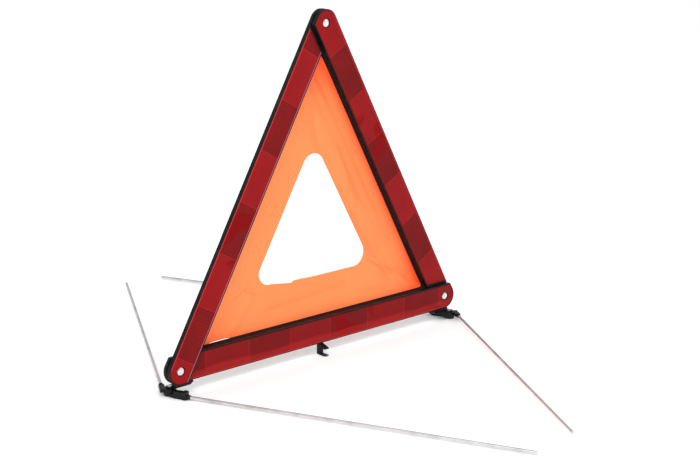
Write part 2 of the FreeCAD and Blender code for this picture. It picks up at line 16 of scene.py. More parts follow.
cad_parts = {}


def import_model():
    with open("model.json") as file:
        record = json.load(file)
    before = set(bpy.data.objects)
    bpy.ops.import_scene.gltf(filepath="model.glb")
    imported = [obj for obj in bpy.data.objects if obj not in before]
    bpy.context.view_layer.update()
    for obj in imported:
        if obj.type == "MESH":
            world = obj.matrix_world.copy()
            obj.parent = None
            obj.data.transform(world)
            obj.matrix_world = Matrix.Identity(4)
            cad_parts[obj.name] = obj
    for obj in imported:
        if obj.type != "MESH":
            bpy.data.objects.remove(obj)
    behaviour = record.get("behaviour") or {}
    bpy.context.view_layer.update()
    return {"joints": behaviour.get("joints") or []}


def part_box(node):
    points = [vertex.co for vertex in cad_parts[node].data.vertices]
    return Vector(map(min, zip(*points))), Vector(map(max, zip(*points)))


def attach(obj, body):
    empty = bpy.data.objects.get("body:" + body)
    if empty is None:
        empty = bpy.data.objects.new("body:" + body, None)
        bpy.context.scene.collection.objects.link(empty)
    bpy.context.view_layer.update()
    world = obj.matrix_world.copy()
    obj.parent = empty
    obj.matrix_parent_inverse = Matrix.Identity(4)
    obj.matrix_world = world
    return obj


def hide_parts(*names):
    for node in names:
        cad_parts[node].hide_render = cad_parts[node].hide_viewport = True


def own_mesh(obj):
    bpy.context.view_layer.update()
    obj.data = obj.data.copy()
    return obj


LOG = logging.getLogger("warning_triangle")
MM = 0.001
Colour = tuple[float, float, float]
Faces = list[list[int]]
Socket = bpy.types.NodeSocket
TIP = 0.05 * MM  # the small radius at which a turned solid is closed on its axis


# ------------------------------------------------------------------ material graphs


class Coordinates(Enum):
    """The coordinates that a finish reads: the object's own, or a sheet's flat place."""

    OBJECT = "Object"
    FLAT = "UV"


class Graph:
    """A material's node graph with short calls for the nodes that the finishes use."""

    def __init__(self, name: str) -> None:
        """Make an empty material with one Principled shader.

        Args:
            name: The material's name.
        """
        self.material = bpy.data.materials.new(name)
        self.material.use_nodes = True
        self.tree = self.material.node_tree
        self.tree.nodes.clear()
        self.shader = self.tree.nodes.new("ShaderNodeBsdfPrincipled")
        output = self.tree.nodes.new("ShaderNodeOutputMaterial")
        self.tree.links.new(self.shader.outputs["BSDF"], output.inputs["Surface"])

    def feed(self, socket: Socket, value: object) -> None:
        """Give an input socket a link or a plain value.

        Args:
            socket: The input socket.
            value: An output socket, a number or a colour.
        """
        if isinstance(value, bpy.types.NodeSocket):
            self.tree.links.new(value, socket)
        else:
            socket.default_value = value

    def set(self, **values: object) -> None:
        """Set the shader's own sockets.

        Args:
            values: A link or a plain value for each, named with underscores for spaces.
        """
        for name, value in values.items():
            self.feed(self.shader.inputs[name.replace("_", " ")], value)

    def math(self, operation: str, *values: object) -> Socket:
        """Combine up to three numbers.

        Args:
            operation: The Math node's operation.
            values: Links or numbers, in order.

        Returns:
            The result's socket.
        """
        node = self.tree.nodes.new("ShaderNodeMath")
        node.operation = operation
        for socket, value in zip(node.inputs, values):
            self.feed(socket, value)
        return node.outputs[0]

    def blend(self, share: object, first: object, second: object) -> Socket:
        """Mix two colours by a share from 0 to 1.

        Args:
            share: A link or a number.
            first: The colour at share 0, a link or a colour.
            second: The colour at share 1, a link or a colour.

        Returns:
            The mixed colour's socket.
        """
        node = self.tree.nodes.new("ShaderNodeMix")
        node.data_type = "RGBA"
        self.feed(node.inputs[0], share)
        for socket, value in ((node.inputs[6], first), (node.inputs[7], second)):
            self.feed(socket, (*value, 1.0) if isinstance(value, tuple) else value)
        return node.outputs[2]

    def ramp(self, value: object, low: float, high: float) -> Socket:
        """Turn a number into a smooth share.

        Args:
            value: The number's socket.
            low: Where the share is 0.
            high: Where the share is 1.

        Returns:
            The share's socket.
        """
        node = self.tree.nodes.new("ShaderNodeMapRange")
        node.interpolation_type = "SMOOTHSTEP"
        self.feed(node.inputs["Value"], value)
        node.inputs["From Min"].default_value = low
        node.inputs["From Max"].default_value = high
        return node.outputs["Result"]

    def place(
        self, kind: Coordinates = Coordinates.OBJECT, matrix: Matrix | None = None
    ) -> Socket:
        """Read coordinates, turned into a piece's own frame when a matrix is given.

        Args:
            kind: Which coordinates.
            matrix: The rigid map from the model's frame to the piece's frame.

        Returns:
            The coordinate's socket.
        """
        node = self.tree.nodes.new("ShaderNodeTexCoord")
        if matrix is None:
            return node.outputs[kind.value]
        mapping = self.tree.nodes.new("ShaderNodeMapping")
        mapping.vector_type = "POINT"
        mapping.inputs["Location"].default_value = matrix.to_translation()
        mapping.inputs["Rotation"].default_value = matrix.to_euler("XYZ")
        self.feed(mapping.inputs["Vector"], node.outputs[kind.value])
        return mapping.outputs["Vector"]

    def parts(self, vector: Socket) -> tuple[Socket, Socket, Socket]:
        """Split a vector into its three numbers.

        Args:
            vector: The vector's socket.

        Returns:
            The sockets of its X, Y and Z.
        """
        node = self.tree.nodes.new("ShaderNodeSeparateXYZ")
        self.feed(node.inputs[0], vector)
        return node.outputs[0], node.outputs[1], node.outputs[2]

    def noise(self, vector: Socket, scale: float, detail: float = 3.0) -> Socket:
        """Read a noise from 0 to 1.

        Args:
            vector: The coordinate.
            scale: Waves in a metre.
            detail: The number of finer layers.

        Returns:
            The noise's socket.
        """
        node = self.tree.nodes.new("ShaderNodeTexNoise")
        self.feed(node.inputs["Vector"], vector)
        node.inputs["Scale"].default_value = scale
        node.inputs["Detail"].default_value = detail
        return node.outputs["Fac"]

    def weave(self, thread: float) -> Socket:
        """A plain weave on a sheet's flat place: the product of two sets of threads.

        Args:
            thread: The distance between threads, in metres.

        Returns:
            The socket of the height, from 0 to 1.
        """
        along, across, _ = self.parts(self.place(Coordinates.FLAT))
        warp = self.math("PINGPONG", self.math("DIVIDE", along, thread), 0.5)
        weft = self.math("PINGPONG", self.math("DIVIDE", across, thread), 0.5)
        return self.math("MULTIPLY", self.math("MULTIPLY", warp, weft), 4.0)

    def attribute(self, name: str) -> Socket:
        """Read a number stored on the mesh's points.

        Args:
            name: The attribute's name.

        Returns:
            The number's socket.
        """
        node = self.tree.nodes.new("ShaderNodeAttribute")
        node.attribute_name = name
        return node.outputs["Fac"]

    def bump(self, height: Socket, depth: float, strength: float) -> None:
        """Shade the surface as if it rose with a height from 0 to 1.

        Args:
            height: The height's socket.
            depth: The rise for a height of 1, in metres.
            strength: The share of the effect.
        """
        node = self.tree.nodes.new("ShaderNodeBump")
        node.inputs["Distance"].default_value = depth
        node.inputs["Strength"].default_value = strength
        self.feed(node.inputs["Height"], height)
        self.feed(self.shader.inputs["Normal"], node.outputs["Normal"])


# ------------------------------------------------------------------ finishes


@dataclass(frozen=True)
class MouldedPlastic:
    """Black moulded plastic with a fine grain and rubbed, slightly paler patches."""

    colour: Colour = (0.005, 0.005, 0.006)
    rubbed: Colour = (0.016, 0.015, 0.017)
    roughness: float = 0.4
    shine: float = 0.2
    patches: float = 90.0
    grain: float = 2600.0
    relief: float = 0.06 * MM

    def material(self, name: str) -> bpy.types.Material:
        """Make the material.

        Args:
            name: The material's name.

        Returns:
            The material.
        """
        graph = Graph(name)
        place = graph.place()
        wear = graph.ramp(graph.noise(place, self.patches, 5.0), 0.45, 0.75)
        fine = graph.noise(place, self.grain, 2.0)
        graph.set(Base_Color=graph.blend(wear, self.colour, self.rubbed))
        spread = graph.math("MULTIPLY_ADD", fine, 0.14, self.roughness - 0.07)
        graph.set(Roughness=graph.math("MULTIPLY_ADD", wear, 0.1, spread))
        graph.set(Specular_IOR_Level=self.shine)
        graph.bump(fine, self.relief, 0.35)
        return graph.material


@dataclass(frozen=True)
class PrismLens:
    """Clear red plastic over moulded prisms, in blocks that are smooth and hatched by turns."""

    bright: Colour = (0.39, 0.009, 0.011)
    dark: Colour = (0.105, 0.005, 0.006)
    deep: Colour = (0.20, 0.0, 0.001)
    # painted highlight: the bright red painted on the outer bevel, on the seams and as glints
    lit_edge: Colour = (0.68, 0.03, 0.03)
    # the colour painted along the lens's inner edge; by default a pale painted highlight where the
    # rim catches light
    lip: Colour = (0.16, 0.06, 0.085)
    first_seam: float = 12.0 * MM
    block: float = 60.9 * MM
    slant: float = 8.0
    blotches: tuple[float, float] = (120.0 * MM, 205.0 * MM)
    prism: float = 2.5 * MM
    edge_out: float = 14.4 * MM
    edge_in: float = 14.8 * MM
    # the strength of the painted glints along the lower border
    sparkle: float = 0.0
    seam_share: float = 0.009
    cloud_scale: float = 30.0
    blotch_scale: float = 32.0
    blotch_fade: float = 12.0 * MM
    relief: float = 0.2 * MM

    def lines(self, graph: Graph, along: Socket, across: Socket, degrees: float) -> Socket:
        """One set of parallel lines: 0 on a line and 1 half way to the next.

        The height is twice the distance to the nearest line, over a prism's size.

        Args:
            graph: The material's graph.
            along: The place along the arm.
            across: The place across the arm.
            degrees: The direction in which the lines follow each other.

        Returns:
            The height.
        """
        c, s = math.cos(math.radians(degrees)), math.sin(math.radians(degrees))
        shifted = graph.math("MULTIPLY", across, s / self.prism)
        line = graph.math("MULTIPLY_ADD", along, c / self.prism, shifted)
        return graph.math("MULTIPLY", graph.math("PINGPONG", line, 0.5), 2.0)

    def lattice(self, graph: Graph, along: Socket, across: Socket, first: float) -> Socket:
        """Prisms between three sets of lines, sixty degrees apart: the lowest of the three."""
        sets = [self.lines(graph, along, across, first + turn) for turn in (0.0, 60.0, 120.0)]
        return graph.math("MINIMUM", graph.math("MINIMUM", sets[0], sets[1]), sets[2])

    def material(self, name: str, to_arm: Matrix) -> bpy.types.Material:
        """Make the material for one arm.

        Args:
            name: The material's name.
            to_arm: The map from the model's frame to the arm's frame.

        Returns:
            The material.
        """
        graph = Graph(name)
        place = graph.place(matrix=to_arm)
        along, across, _ = graph.parts(place)
        index = graph.math("DIVIDE", graph.math("SUBTRACT", along, self.first_seam), self.block)
        half = graph.math("FRACT", graph.math("MULTIPLY_ADD", index, 0.5, 10.0))
        smooth = graph.math("GREATER_THAN", half, 0.5)
        hatched = graph.math("SUBTRACT", 1.0, smooth)
        seam = graph.math("LESS_THAN", graph.math("PINGPONG", index, 0.5), self.seam_share)

        # the prisms' height: a fine lattice in smooth blocks, slanting lines in hatched ones
        wide = self.lattice(graph, along, across, 30.0)
        cross = self.lines(graph, along, across, self.slant)
        fine = self.lattice(graph, along, across, 0.0)
        hatch = graph.math("MULTIPLY_ADD", wide, 0.4, graph.math("MULTIPLY", cross, 0.6))
        height = graph.math(
            "ADD", graph.math("MULTIPLY", smooth, fine), graph.math("MULTIPLY", hatched, hatch)
        )

        # how bright the red is, by block, by cloud and by the prisms' height
        clouds = graph.noise(place, self.cloud_scale, 3.0)
        share = graph.math("MULTIPLY_ADD", smooth, 0.42, 0.2)
        share = graph.math("MULTIPLY_ADD", clouds, 0.4, graph.math("SUBTRACT", share, 0.2))
        contrast = graph.math("MULTIPLY_ADD", hatched, 0.1, 0.6)
        lift = graph.math("MULTIPLY", graph.math("SUBTRACT", height, 0.45), contrast)
        share = graph.math("ADD", share, lift)
        share = graph.math("MAXIMUM", graph.math("MINIMUM", share, 1.0), 0.0)
        colour = graph.blend(share, self.dark, self.bright)

        # deep blotches on one stretch; painted highlights as glints along the lower border, on the
        # seams and on the outer edge; and the inner edge's painted colour
        low, high = self.blotches
        fade = self.blotch_fade
        blotch = graph.ramp(graph.noise(place, self.blotch_scale, 0.0), 0.47, 0.5)
        blotch = graph.math("MULTIPLY", blotch, graph.ramp(along, low, low + fade))
        blotch = graph.math("MULTIPLY", blotch, graph.ramp(along, high, high - fade))
        colour = graph.blend(graph.math("MULTIPLY", blotch, 0.75), colour, self.deep)
        # painted glints: highlights along the lens's lower border
        if self.sparkle:
            border = graph.math("MULTIPLY_ADD", clouds, -8 * MM, across)
            lower = graph.ramp(border, 0.0, 4 * MM)
            glint = graph.math("MULTIPLY", graph.math("MULTIPLY", lower, cross), self.sparkle)
            colour = graph.blend(glint, colour, self.lit_edge)
        # painted highlight on the seams between blocks
        colour = graph.blend(graph.math("MULTIPLY", seam, 0.2), colour, self.lit_edge)
        # painted highlight along the outer bevel
        outer = graph.ramp(across, self.edge_out - 1.4 * MM, self.edge_out - 1.0 * MM)
        turned_in = graph.math("MULTIPLY", across, -1.0)
        inner = graph.ramp(turned_in, self.edge_in - 1.5 * MM, self.edge_in - 1.2 * MM)
        colour = graph.blend(graph.math("MULTIPLY", outer, 0.75), colour, self.lit_edge)
        # the inner edge's painted colour, a pale painted highlight on the left arm
        graph.set(Base_Color=graph.blend(graph.math("MULTIPLY", inner, 0.8), colour, self.lip))
        graph.set(Roughness=graph.math("MULTIPLY_ADD", smooth, -0.06, 0.3))
        graph.set(Specular_IOR_Level=0.05)
        graph.bump(height, self.relief, 0.3)
        return graph.material


@dataclass(frozen=True)
class BrightSteel:
    """Bright drawn or domed steel with fine scratches."""

    colour: Colour = (0.78, 0.79, 0.82)
    dull: Colour = (0.6, 0.61, 0.63)
    roughness: float = 0.27
    metal: float = 1.0
    scratches: float = 900.0
    tarnish: float = 60.0
    relief: float = 0.02 * MM

    def material(self, name: str) -> bpy.types.Material:
        """Make the material.

        Args:
            name: The material's name.

        Returns:
            The material.
        """
        graph = Graph(name)
        place = graph.place()
        fine = graph.noise(place, self.scratches, 4.0)
        tarnish = graph.ramp(graph.noise(place, self.tarnish, 3.0), 0.4, 0.8)
        graph.set(Base_Color=graph.blend(tarnish, self.colour, self.dull))
        graph.set(Metallic=self.metal)
        graph.set(Roughness=graph.math("MULTIPLY_ADD", fine, 0.16, self.roughness - 0.06))
        graph.bump(fine, self.relief, 0.25)
        return graph.material


@dataclass(frozen=True)
class CoatedCloth:
    """Fluorescent orange cloth in a plain weave, with painted shade that turns it redder towards
    its edges, in streaks and on one flank of each crease, and a faint painted glow.
    """

    middle: Colour = (0.90, 0.212, 0.062)
    # the red towards which random clouds of tone and the painted shade near arms, corners, streaks
    # and crease flanks blend
    border: Colour = (0.95, 0.075, 0.012)
    shade: Colour = (0.55, 0.1, 0.02)
    # painted glow: the cloth gives off a little light of its own colour, standing in for its
    # fluorescent brightness
    glow: float = 0.2
    clouds: float = 22.0
    thread: float = 0.55 * MM
    relief: float = 0.05 * MM

    def material(self, name: str) -> bpy.types.Material:
        """Make the material.

        Args:
            name: The material's name.

        Returns:
            The material.
        """
        graph = Graph(name)
        weave = graph.weave(self.thread)
        clouds = graph.noise(graph.place(), self.clouds, 4.0)
        # random clouds of tone, plus the painted shade stored on the sheet's points
        tone_and_shade = graph.math("MULTIPLY_ADD", clouds, 0.24, -0.12)
        tone_and_shade = graph.math("ADD", tone_and_shade, graph.attribute("nearness"))
        tone_and_shade = graph.math("MAXIMUM", graph.math("MINIMUM", tone_and_shade, 1.0), 0.0)
        colour = graph.blend(tone_and_shade, self.middle, self.border)
        shaded = graph.math("MULTIPLY_ADD", weave, 0.12, 0.9)
        dimmed = graph.blend(shaded, self.shade, colour)
        # painted glow: the cloth's colour also shines as light of its own
        graph.set(Base_Color=dimmed, Emission_Color=colour)
        graph.set(Emission_Strength=self.glow, Roughness=0.58)
        graph.set(Specular_IOR_Level=0.25, Sheen_Weight=0.12, Sheen_Roughness=0.4)
        graph.bump(weave, self.relief, 0.4)
        return graph.material


@dataclass(frozen=True)
class WovenTape:
    """Black woven binding tape."""

    colour: Colour = (0.010, 0.009, 0.010)
    worn: Colour = (0.026, 0.008, 0.009)
    patches: float = 80.0
    thread: float = 0.6 * MM
    relief: float = 0.06 * MM

    def material(self, name: str) -> bpy.types.Material:
        """Make the material.

        Args:
            name: The material's name.

        Returns:
            The material.
        """
        graph = Graph(name)
        weave = graph.weave(self.thread)
        wear = graph.ramp(graph.noise(graph.place(), self.patches, 4.0), 0.4, 0.8)
        graph.set(Base_Color=graph.blend(wear, self.colour, self.worn))
        graph.set(Roughness=graph.math("MULTIPLY_ADD", weave, -0.1, 0.75))
        graph.set(Specular_IOR_Level=0.1)
        graph.bump(weave, self.relief, 0.5)
        return graph.material


@dataclass(frozen=True)
class PaleFloor:
    """A plain pale floor with the faintest mottling."""

    colour: Colour = (0.97, 0.97, 0.97)
    paler: Colour = (0.985, 0.985, 0.985)
    mottling: float = 6.0

    def material(self, name: str) -> bpy.types.Material:
        """Make the material.

        Args:
            name: The material's name.

        Returns:
            The material.
        """
        graph = Graph(name)
        mottle = graph.noise(graph.place(), self.mottling, 3.0)
        graph.set(Base_Color=graph.blend(mottle, self.colour, self.paler))
        graph.set(Roughness=0.8, Specular_IOR_Level=0.1)
        return graph.material


# ------------------------------------------------------------------ surfaces


def grid_faces(rows: int, columns: int) -> np.ndarray:
    """Quads of a grid of points stored row by row, whose last column joins the first.

    Args:
        rows: Points in the first direction.
        columns: Points in the second direction.

    Returns:
        The corner indices, one quad in a row.
    """
    r = np.arange(rows - 1)[:, None]
    c = np.arange(columns)[None, :]
    d = (c + 1) % columns
    quads = np.stack(
        [r * columns + c, (r + 1) * columns + c, (r + 1) * columns + d, r * columns + d], -1
    )
    return quads.reshape(-1, 4)


def new_piece(
    name: str, points: np.ndarray, faces: Faces, material: bpy.types.Material, smooth: bool = True
) -> bpy.types.Object:
    """Put points and faces into a mesh object in the scene.

    Args:
        name: The piece's name.
        points: One point in a row, in the model's frame.
        faces: The corner indices of each face.
        material: The piece's finish.
        smooth: Whether the faces are shaded smooth.

    Returns:
        The new object.
    """
    mesh = bpy.data.meshes.new(name)
    mesh.from_pydata(points.tolist(), [], faces)
    mesh.materials.append(material)
    mesh.polygons.foreach_set("use_smooth", np.full(len(mesh.polygons), smooth))
    mesh.update()
    piece = bpy.data.objects.new(name, mesh)
    bpy.context.scene.collection.objects.link(piece)
    return piece


def rings_solid(rings: np.ndarray) -> tuple[np.ndarray, Faces]:
    """Join closed rings of points into one closed solid with flat ends.

    Args:
        rings: Points as rings by points by three numbers, each ring turning the same way.

    Returns:
        The points and the faces.
    """
    count, sides, _ = rings.shape
    faces = grid_faces(count, sides).tolist()
    faces.append(list(range(sides)))
    faces.append(list(range((count - 1) * sides, count * sides))[::-1])
    return rings.reshape(-1, 3), faces


def turned(profile: np.ndarray, sides: int = 48) -> tuple[np.ndarray, Faces]:
    """A turned solid: each (radius, height) of a profile becomes a ring about the Z axis.

    A point is (radius times cosine, radius times sine, height) of the ring's angle.

    Args:
        profile: Radii and heights, from one end to the other.
        sides: Points in a ring.

    Returns:
        The points and the faces.
    """
    angle = np.linspace(0, 2 * np.pi, sides, endpoint=False)[None, :]
    radius, height = profile[:, :1], profile[:, 1:]
    rings = np.stack(
        [radius * np.cos(angle), radius * np.sin(angle), height + 0 * angle], -1
    )
    return rings_solid(rings[::-1])


def bead(
    path: np.ndarray,
    normals: np.ndarray,
    size: tuple[float, float],
    sides: int = 10,
    tip: float = 0.15,
) -> np.ndarray:
    """Rings of a thin raised line along a flat path.

    Each ring is an oval in the plane of the path's normal and the local Z axis: the point is
    the path, plus the normal times the first size times cosine, plus Z times the second size
    times sine. Both ends close to a small tip.

    Args:
        path: Points of the path, in an arm's frame.
        normals: The outward direction at each point, in the same frame.
        size: The half width along the normal and along Z.
        sides: Points in a ring.
        tip: The share of the size that is left at both ends.

    Returns:
        The rings, as rings by points by three numbers.
    """
    angle = np.linspace(0, 2 * np.pi, sides, endpoint=False)[None, :, None]
    taper = np.ones((len(path), 1, 1))
    taper[[0, -1]] = tip
    side = normals[:, None, :] * size[0] * np.cos(angle) * taper
    rise = np.array([0.0, 0.0, 1.0])[None, None, :] * size[1] * np.sin(angle) * taper
    return path[:, None, :] + side + rise


def moved(points: np.ndarray, matrix: Matrix) -> np.ndarray:
    """Carry points by a rigid map, given as a matrix."""
    grid = np.array(matrix)
    return points @ grid[:3, :3].T + grid[:3, 3]


def upright_turn(place: tuple[float, float], degrees: float) -> Matrix:
    """The map from a foot's or leg's frame to the model's: a turn about Z and a shift."""
    turn = Matrix.Rotation(math.radians(degrees), 4, "Z")
    return Matrix.Translation((place[0], place[1], 0.0)) @ turn


# ------------------------------------------------------------------ layout


class Side(Enum):
    """The three arms, with each one's turn of the triangle in degrees."""

    BOTTOM = 0.0
    LEFT = 120.0
    RIGHT = 240.0

    @property
    def word(self) -> str:
        """The name that the arm's nodes start with."""
        return self.name.lower()


@dataclass(frozen=True)
class Layout:
    """Where the triangle's rivets and arms lie, read from the model's joints."""

    length: float
    offset: float
    height: float

    @classmethod
    def read(cls, joints: list[dict]) -> "Layout":
        """Read the rivet spacing, the step at a corner and the rivets' height."""
        corner = next(j for j in joints if j["name"] == "left_arm_fold")["pos_m"]
        return cls(length=-2 * corner[0], offset=-2 * corner[1], height=corner[2])

    @property
    def middle(self) -> float:
        """The height of the triangle's middle."""
        return self.height + self.length * math.sqrt(3) / 6

    def arm(self, side: Side) -> Matrix:
        """The map from an arm's frame to the model's.

        The arm's frame has its origin on the mid plane at the front rivet, X towards the rear
        rivet, Y outwards and Z to the front.

        Args:
            side: Which arm.

        Returns:
            The rigid map.
        """
        x = np.array([-self.length, self.offset, 0.0])
        x /= np.linalg.norm(x)
        y = np.array([0.0, 0.0, -1.0])
        start = np.array([self.length / 2, -self.offset / 2, self.height])
        flat = np.eye(4)
        flat[:3, :3] = np.stack([x, y, np.cross(x, y)], 1)
        flat[:3, 3] = start
        centre = Matrix.Translation((0.0, 0.0, self.middle))
        turn = Matrix.Rotation(math.radians(side.value), 4, "Y")
        return centre @ turn @ centre.inverted() @ Matrix(flat.tolist())


def dress(node: str, material: bpy.types.Material) -> None:
    """Give a shown node of the model its finish.

    Args:
        node: The node's name.
        material: The finish.
    """
    piece = bpy.data.objects[node]
    if not piece.material_slots:
        piece.data.materials.append(material)
    for place in piece.material_slots:
        place.material = material
    LOG.info("dressed %s", node)


def add(piece: bpy.types.Object, body: str) -> bpy.types.Object:
    """Let a new piece ride on a body and note it in the log.

    Args:
        piece: The new piece.
        body: The body's name.

    Returns:
        The piece.
    """
    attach(piece, body)
    LOG.info("built %s", piece.name)
    return piece


# ------------------------------------------------------------------ the arms


@dataclass
class ReflectorArm:
    """One arm: the moulded body and cover with their fine ribs, and the red reflector."""

    side: Side
    body: str
    layout: Layout
    plastic: bpy.types.Material
    lens: PrismLens
    outer: float = 15.2 * MM
    inner: float = 15.6 * MM
    half: float = 2.8 * MM
    rib_levels: tuple[float, ...] = (2.15 * MM, 0.15 * MM, -2.1 * MM)
    rib_size: tuple[float, float] = (0.28 * MM, 0.34 * MM)
    wrap: float = 28.0
    lip_margin: float = 34.0 * MM
    lip_size: tuple[float, float] = (0.3 * MM, 0.25 * MM)
    seam_margin: float = 1.6 * MM
    seam_size: tuple[float, float] = (0.22 * MM, 0.08 * MM)
    last_seam: float = 40.0 * MM
    back_rows: tuple[float, ...] = (-6.0 * MM, 6.0 * MM)
    back_margin: float = 42.0 * MM
    back_size: tuple[float, float] = (0.45 * MM, 0.3 * MM)
    cross_margin: float = 70.0 * MM
    cross_reach: float = 9.5 * MM
    cross_count: int = 6

    def outline(self, steps: int = 26) -> tuple[np.ndarray, np.ndarray]:
        """The outer path of the arm: round the rear rivet, straight, and round the front one.

        On an arc the point is the rivet plus the radius times (cosine, sine), and the outward
        direction is that (cosine, sine).

        Args:
            steps: Points on each arc.

        Returns:
            The points and the outward directions, in the arm's frame at level 0.
        """
        rear = np.radians(np.linspace(-self.wrap, 90, steps))
        front = np.radians(np.linspace(90, 180 + self.wrap, steps))
        angle = np.concatenate([rear, front])
        centre = np.concatenate([np.full(steps, self.layout.length), np.zeros(steps)])
        out = np.stack([np.cos(angle), np.sin(angle), 0 * angle], 1)
        path = out * self.outer
        path[:, 0] += centre
        return path, out

    def ribs(self) -> None:
        """Fine lengthwise ribs round the outer side, at three levels."""
        path, out = self.outline()
        for number, level in enumerate(self.rib_levels):
            lifted = path + np.array([0.0, 0.0, level])
            points, faces = rings_solid(bead(lifted, out, self.rib_size))
            points = moved(points, self.layout.arm(self.side))
            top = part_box(f"{self.side.word}_arm_body")[1].z
            points[:, 2] = np.minimum(points[:, 2], top)
            name = f"{self.side.word}_side_rib_{number}"
            add(new_piece(name, points, faces, self.plastic), self.body)

    def inner_lip(self) -> None:
        """A thin lip along the inner edge of the front, beside the reflector."""
        x = np.linspace(self.lip_margin, self.layout.length - self.lip_margin, 30)
        path = np.stack([x, np.full(30, -self.inner + 0.35 * MM), np.full(30, self.half)], 1)
        out = np.tile(np.array([0.0, -1.0, 0.0]), (30, 1))
        points, faces = rings_solid(bead(path, out, self.lip_size))
        points = moved(points, self.layout.arm(self.side))
        name = f"{self.side.word}_inner_lip"
        add(new_piece(name, points, faces, self.plastic), self.body)

    def seams(self, material: bpy.types.Material) -> None:
        """Fine raised lines across the reflector between its blocks.

        Args:
            material: The reflector's finish.
        """
        cap = self.half + 0.02 * MM
        end = self.layout.length - self.last_seam
        for number, x in enumerate(np.arange(self.lens.first_seam, end, self.lens.block)):
            y = np.linspace(-self.inner + self.seam_margin, self.outer - self.seam_margin, 8)
            path = np.stack([np.full(8, x), y, np.full(8, cap)], 1)
            out = np.tile(np.array([1.0, 0.0, 0.0]), (8, 1))
            points, faces = rings_solid(bead(path, out, self.seam_size))
            points = moved(points, self.layout.arm(self.side))
            name = f"{self.side.word}_lens_seam_{number}"
            add(new_piece(name, points, faces, material), self.body)

    def back_ribs(self) -> None:
        """Low stiffening ribs along and across the back of the cover."""
        level = -self.half + 0.45 * MM
        runs = []
        for y in self.back_rows:
            x = np.linspace(self.back_margin, self.layout.length - self.back_margin, 24)
            runs.append(np.stack([x, np.full(24, y), np.full(24, level)], 1))
        last = self.layout.length - self.cross_margin
        for x in np.linspace(self.cross_margin, last, self.cross_count):
            y = np.linspace(-self.cross_reach, self.cross_reach, 8)
            runs.append(np.stack([np.full(8, x), y, np.full(8, level)], 1))
        for number, path in enumerate(runs):
            step = path[-1] - path[0]
            out = np.cross([0.0, 0.0, 1.0], step / np.linalg.norm(step))
            rings = bead(path, np.tile(out, (len(path), 1)), self.back_size)
            points, faces = rings_solid(rings[:, ::-1])
            points = moved(points, self.layout.arm(self.side))
            name = f"{self.side.word}_back_rib_{number}"
            add(new_piece(name, points, faces, self.plastic), self.body)

    def build(self) -> None:
        """Dress the arm's nodes and add its fine parts."""
        word = self.side.word
        red = self.lens.material(f"{word}_reflector", self.layout.arm(self.side).inverted())
        dress(f"{word}_arm_body", self.plastic)
        dress(f"{word}_arm_cover", self.plastic)
        dress(f"{word}_arm_lens", red)
        self.ribs()
        self.inner_lip()
        self.seams(red)
        self.back_ribs()


# ------------------------------------------------------------------ the rivets


@dataclass
class CornerRivet:
    """A domed rivet with a flared tail, on its corner's own axis."""

    node: str
    body: str
    seat: tuple[float, float, float]
    axis: tuple[float, float, float]
    steel: bpy.types.Material
    half: float = 2.8 * MM
    lens: float = 1.7 * MM
    lap: float = 5.9 * MM
    tail_gap: float = 0.2 * MM
    head: float = 4.65 * MM
    shank: float = 1.98 * MM
    seat_rise: float = 0.25 * MM
    rim: float = 0.2 * MM
    dome: float = 1.15 * MM
    tail_radii: tuple[float, float, float] = (3.1 * MM, 3.7 * MM, 3.6 * MM)
    tail_depths: tuple[float, float] = (0.8 * MM, 0.45 * MM)

    def profile(self) -> np.ndarray:
        """Radii and heights from the tail to the top of the dome.

        The dome is a quarter of an oval: radius times cosine, height times sine.

        Returns:
            One (radius, height) in a row.
        """
        seat = self.half - self.lens + self.seat_rise
        tail = -self.lap - self.half - self.tail_gap
        end, flare, neck = self.tail_radii
        deep, mid = self.tail_depths
        low = np.array(
            [
                (TIP, tail - deep),
                (end, tail - deep),
                (flare, tail - mid),
                (neck, tail),
                (self.shank, tail),
                (self.shank, seat),
            ]
        )
        rim = np.array([(self.head, seat), (self.head, seat + self.rim)])
        turn = np.radians(np.linspace(0, 88, 14))
        rise = seat + self.rim + self.dome * np.sin(turn)
        dome = np.stack([self.head * np.cos(turn), rise], 1)
        return np.concatenate([low, rim, dome[1:]])

    def build(self) -> None:
        """Make the rivet and let it stand for the model's plain one."""
        points, faces = turned(self.profile())
        front = -np.array(self.axis)
        turn = Matrix.Identity(4)
        x = np.cross([0.0, 0.0, 1.0], front)
        x /= np.linalg.norm(x)
        y = np.cross(front, x)
        for row in range(3):
            turn[row][0], turn[row][1], turn[row][2] = x[row], y[row], front[row]
        place = Matrix.Translation(self.seat) @ turn
        piece = new_piece(f"{self.node}_domed", moved(points, place), faces, self.steel)
        add(piece, self.body)
        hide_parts(self.node)


# ------------------------------------------------------------------ the cloth


